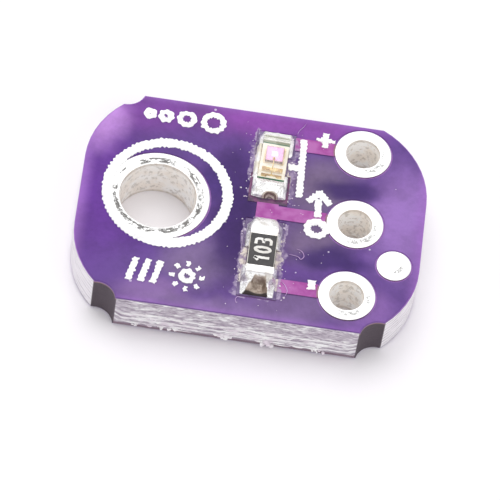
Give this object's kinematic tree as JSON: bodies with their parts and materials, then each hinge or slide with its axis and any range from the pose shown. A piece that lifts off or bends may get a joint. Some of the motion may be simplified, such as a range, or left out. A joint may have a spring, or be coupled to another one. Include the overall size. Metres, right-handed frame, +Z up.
{
  "type": "light sensor module",
  "caption": "Small violet breakout board with a clear chip light sensor, a load resistor, a row of plated header holes and one plated mounting hole with a printed ring.",
  "frame": {"origin": "under the middle of the board, on the surface that its tinned rings lie on", "axes": "+Z up through the board to its component side, +X along it from the mounting hole to the header row, +Y across it from the ground hole to the supply hole"},
  "size_m": [0.0102, 0.0076, 0.002],
  "materials": {
    "glass_fibre": "glass-fibre laminate, fibrous on the snapped edges and finely layered on the routed ones",
    "solder_mask": "semi-gloss violet solder mask",
    "copper": "copper foil and plating",
    "tin": "satin tin coat with fine scratches",
    "white_print": "matt white epoxy print",
    "carrier": "cream resin board",
    "terminal_plating": "tinned plating",
    "green_strip": "green solder mask",
    "gold": "soft gold",
    "silicon": "polished chip with a pink oxide layer",
    "clear_resin": "clear moulded epoxy",
    "white_ceramic": "fired alumina",
    "resistive_film": "printed resistive film",
    "black_glaze": "satin black glaze",
    "solder": "bright solder"
  },
  "bodies": {
    "root": {"laminate": "glass_fibre", "top_mask": "solder_mask", "bottom_mask": "solder_mask", "copper_supply": "copper", "copper_output": "copper", "copper_ground": "copper", "copper_mounting": "copper", "copper_dot": "copper", "barrel_supply": "tin", "barrel_output": "tin", "barrel_ground": "tin", "barrel_mounting": "tin", "dot_tin": "tin", "hole_ring_print": "white_print", "sensor_line_print": "white_print", "sensor_carrier": "carrier", "sensor_far_terminal": "terminal_plating", "sensor_near_terminal": "terminal_plating", "sensor_far_strip": "green_strip", "sensor_near_strip": "green_strip", "chip_pad": "gold", "wire_pad": "gold", "sensing_chip": "silicon", "bond_wire": "gold", "clear_resin": "clear_resin", "resistor_body": "white_ceramic", "resistor_film": "resistive_film", "resistor_glaze": "black_glaze", "resistor_far_terminal": "terminal_plating", "resistor_near_terminal": "terminal_plating", "sensor_far_solder": "solder", "sensor_near_solder": "solder", "resistor_far_solder": "solder", "resistor_near_solder": "solder"}
  },
  "joints": []
}
